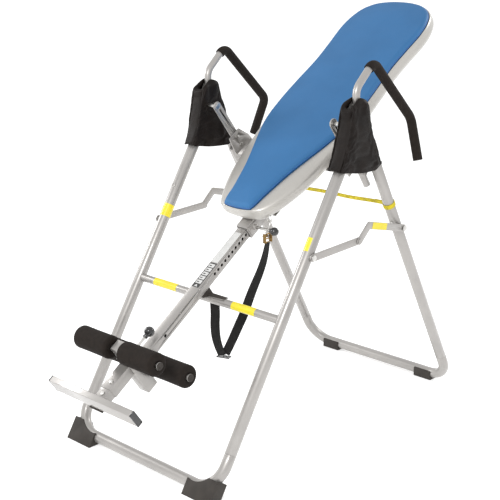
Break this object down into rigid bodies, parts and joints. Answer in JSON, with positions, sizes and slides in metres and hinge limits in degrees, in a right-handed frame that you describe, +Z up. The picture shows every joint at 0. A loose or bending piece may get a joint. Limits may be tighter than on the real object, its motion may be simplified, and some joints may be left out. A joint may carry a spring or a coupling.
{
  "type": "inversion table",
  "caption": "Folding home inversion table with a pivoting padded bed, height-adjustable shaft, foam ankle rollers, handles and tether strap.",
  "frame": {"origin": "on the floor, under the centre of the whole table's box", "axes": "+X across the width, +Y from the foot end to the head end, +Z up"},
  "size_m": [0.8032, 1.5789, 1.4358],
  "materials": {
    "frame_paint": "satin silver-grey metallic paint",
    "shaft_paint": "satin silver-grey metallic paint",
    "dark_tube": "satin silver-grey paint",
    "steel": "zinc-plated steel",
    "cover_fabric": "black woven nylon, wrinkled",
    "grip_foam": "dark foam",
    "roller_foam": "dark closed-cell foam",
    "foot_rubber": "matte charcoal rubber",
    "black_plastic": "moulded black plastic",
    "yellow_webbing": "woven yellow webbing",
    "black_webbing": "woven black webbing",
    "buckle_brass": "brass-coloured cam buckle",
    "cushion_vinyl": "smooth blue vinyl over foam",
    "shell_plastic": "pearl silver moulded plastic"
  },
  "bodies": {
    "front_frame": {"front_leg_L": "frame_paint", "front_leg_R": "frame_paint", "front_floor_tube": "frame_paint", "crossbar": "frame_paint", "front_feet": "foot_rubber", "front_hinges": "frame_paint", "pivot_bushes": "black_plastic", "hinge_cover_L": "cover_fabric", "hinge_cover_R": "cover_fabric", "handle_L": "dark_tube", "handle_R": "dark_tube", "grip_L": "grip_foam", "grip_R": "grip_foam", "shaft_rest": "foot_rubber", "strap_anchor": "steel", "front_frame_bolts": "steel", "tether_low": "black_webbing", "tether_high": "black_webbing", "tether_slider": "black_plastic"},
    "rear_frame": {"rear_leg_L": "frame_paint", "rear_leg_R": "frame_paint", "rear_floor_tube": "frame_paint", "rear_feet": "foot_rubber", "rear_hinges": "frame_paint", "hinge_posts": "frame_paint", "rear_frame_bolts": "steel", "tie_strap": "yellow_webbing"},
    "link_front_L": {"link_front_L": "frame_paint"},
    "link_front_R": {"link_front_R": "frame_paint"},
    "link_rear_L": {"link_rear_L": "frame_paint"},
    "link_rear_R": {"link_rear_R": "frame_paint"},
    "bed": {"bed_cushion": "cushion_vinyl", "bed_shell": "shell_plastic", "bed_bracket": "frame_paint", "bed_arms": "frame_paint", "pivot_pins": "steel", "bed_bolts": "steel", "shaft_sleeve": "frame_paint", "sleeve_liner": "black_plastic", "tether_ring": "steel", "tether_buckle": "buckle_brass"},
    "height_pin": {"height_pin": "steel", "height_knob": "black_plastic"},
    "shaft": {"main_shaft": "shaft_paint", "cross_sleeve": "frame_paint", "foot_stem": "frame_paint", "platform_stem": "frame_paint", "stem_bolts": "steel", "foot_platform": "frame_paint", "platform_caps": "black_plastic", "platform_pad": "foot_rubber", "rear_axle": "frame_paint"},
    "ankle_carriage": {"ankle_bar": "frame_paint", "front_axle": "steel"},
    "ankle_pin": {"pull_rod": "steel", "pull_knob": "black_plastic"},
    "roller_front_L": {"roller_front_L": "roller_foam"},
    "roller_front_R": {"roller_front_R": "roller_foam"},
    "roller_rear_L": {"roller_rear_L": "roller_foam"},
    "roller_rear_R": {"roller_rear_R": "roller_foam"}
  },
  "joints": [
    {"name": "fold", "type": "hinge", "parent": "front_frame", "child": "rear_frame", "pos_m": [0, 0.09639, 1.103], "axis": [-1, 0, 0], "range_deg": [0, 36]},
    {"name": "bed_tilt", "type": "hinge", "parent": "front_frame", "child": "bed", "pos_m": [0, 0.04777, 1.086], "axis": [-1, 0, 0], "range_deg": [0, 50]},
    {"name": "height_slide", "type": "slide", "parent": "bed", "child": "shaft", "axis": [0, 0.8202, 0.5721], "range_m": [-0.1, 0.14]},
    {"name": "height_pin_pull", "type": "slide", "parent": "bed", "child": "height_pin", "axis": [1, 0, 0], "range_m": [0, 0.012], "stiffness_N_per_m": 1500, "springref_m": -0.006},
    {"name": "ankle_slide", "type": "slide", "parent": "shaft", "child": "ankle_carriage", "axis": [0, -0.5721, 0.8202], "range_m": [-0.018, 0.06]},
    {"name": "ankle_pin_pull", "type": "slide", "parent": "shaft", "child": "ankle_pin", "axis": [0, 0.8202, 0.5721], "range_m": [0, 0.016], "stiffness_N_per_m": 1500, "springref_m": -0.006},
    {"name": "link_fold_front_L", "type": "hinge", "parent": "front_frame", "child": "link_front_L", "pos_m": [0, -0.15761, 0.695], "axis": [-1, 0, 0], "range_deg": [0, 84.5]},
    {"name": "link_fold_rear_L", "type": "hinge", "parent": "rear_frame", "child": "link_rear_L", "pos_m": [0, 0.31549, 0.702], "axis": [1, 0, 0], "range_deg": [0, 85.4]},
    {"name": "link_fold_front_R", "type": "hinge", "parent": "front_frame", "child": "link_front_R", "pos_m": [0, -0.15761, 0.695], "axis": [-1, 0, 0], "range_deg": [0, 84.5]},
    {"name": "link_fold_rear_R", "type": "hinge", "parent": "rear_frame", "child": "link_rear_R", "pos_m": [0, 0.31549, 0.702], "axis": [1, 0, 0], "range_deg": [0, 85.4]},
    {"name": "roller_spin_front_L", "type": "hinge", "parent": "ankle_carriage", "child": "roller_front_L", "pos_m": [0, -0.65968, 0.42885], "axis": [1, 0, 0], "continuous": true},
    {"name": "roller_spin_rear_L", "type": "hinge", "parent": "shaft", "child": "roller_rear_L", "pos_m": [0, -0.53462, 0.35271], "axis": [1, 0, 0], "continuous": true},
    {"name": "roller_spin_front_R", "type": "hinge", "parent": "ankle_carriage", "child": "roller_front_R", "pos_m": [0, -0.65968, 0.42885], "axis": [1, 0, 0], "continuous": true},
    {"name": "roller_spin_rear_R", "type": "hinge", "parent": "shaft", "child": "roller_rear_R", "pos_m": [0, -0.53462, 0.35271], "axis": [1, 0, 0], "continuous": true}
  ],
  "couplings": [
    {"joint": "link_fold_front_L", "follows": "fold", "ratio": 2.3334},
    {"joint": "link_fold_rear_L", "follows": "fold", "ratio": 2.3579},
    {"joint": "link_fold_front_R", "follows": "fold", "ratio": 2.3334},
    {"joint": "link_fold_rear_R", "follows": "fold", "ratio": 2.3579}
  ]
}
